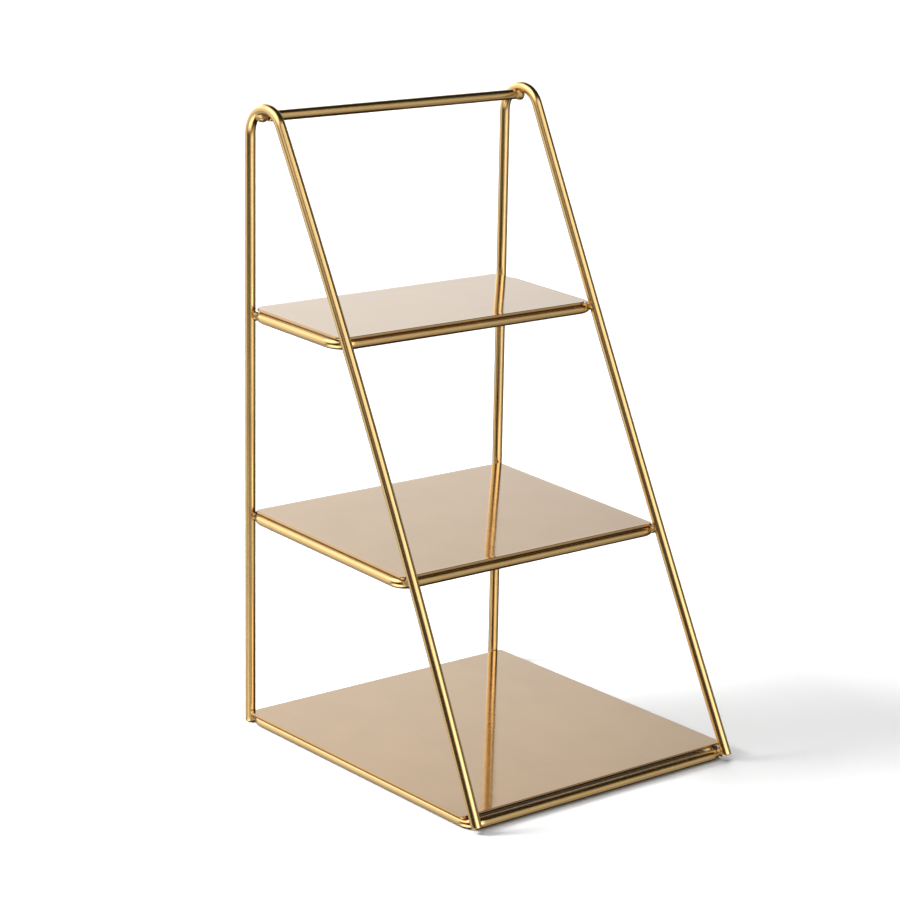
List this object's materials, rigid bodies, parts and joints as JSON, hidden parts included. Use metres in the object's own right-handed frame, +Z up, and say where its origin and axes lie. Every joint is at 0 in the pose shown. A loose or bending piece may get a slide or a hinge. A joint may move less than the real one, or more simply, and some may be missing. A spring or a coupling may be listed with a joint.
{
  "type": "tiered cake stand",
  "caption": "Tiered wire cake stand: flat rectangular plates, each deeper than the one above, welded between A-shaped side frames with a carrying bar on top.",
  "frame": {"origin": "centre of the outer box, on the table plane under the stand", "axes": "+Z up, X across the stand along the handle bar, -Y to the front, where the slanted legs reach the table"},
  "size_m": [0.1928, 0.2188, 0.3658],
  "materials": {
    "wire_metal": "satin brass-gold plating on steel wire",
    "plate_metal": "glossy pale champagne-gold plating on steel sheet",
    "weld_metal": "plated over uneven weld metal, a little darker"
  },
  "bodies": {
    "root": {"left_side_frame": "wire_metal", "right_side_frame": "wire_metal", "handle_bar": "wire_metal", "left_handle_weld": "weld_metal", "right_handle_weld": "weld_metal", "top_shelf_plate": "plate_metal", "top_shelf_loop": "wire_metal", "top_rear_left_weld": "weld_metal", "top_rear_right_weld": "weld_metal", "top_front_left_weld": "weld_metal", "top_front_right_weld": "weld_metal", "middle_shelf_plate": "plate_metal", "middle_shelf_loop": "wire_metal", "middle_rear_left_weld": "weld_metal", "middle_rear_right_weld": "weld_metal", "middle_front_left_weld": "weld_metal", "middle_front_right_weld": "weld_metal", "bottom_shelf_plate": "plate_metal", "bottom_shelf_loop": "wire_metal", "bottom_rear_left_weld": "weld_metal", "bottom_rear_right_weld": "weld_metal", "bottom_front_left_weld": "weld_metal", "bottom_front_right_weld": "weld_metal"}
  },
  "joints": []
}
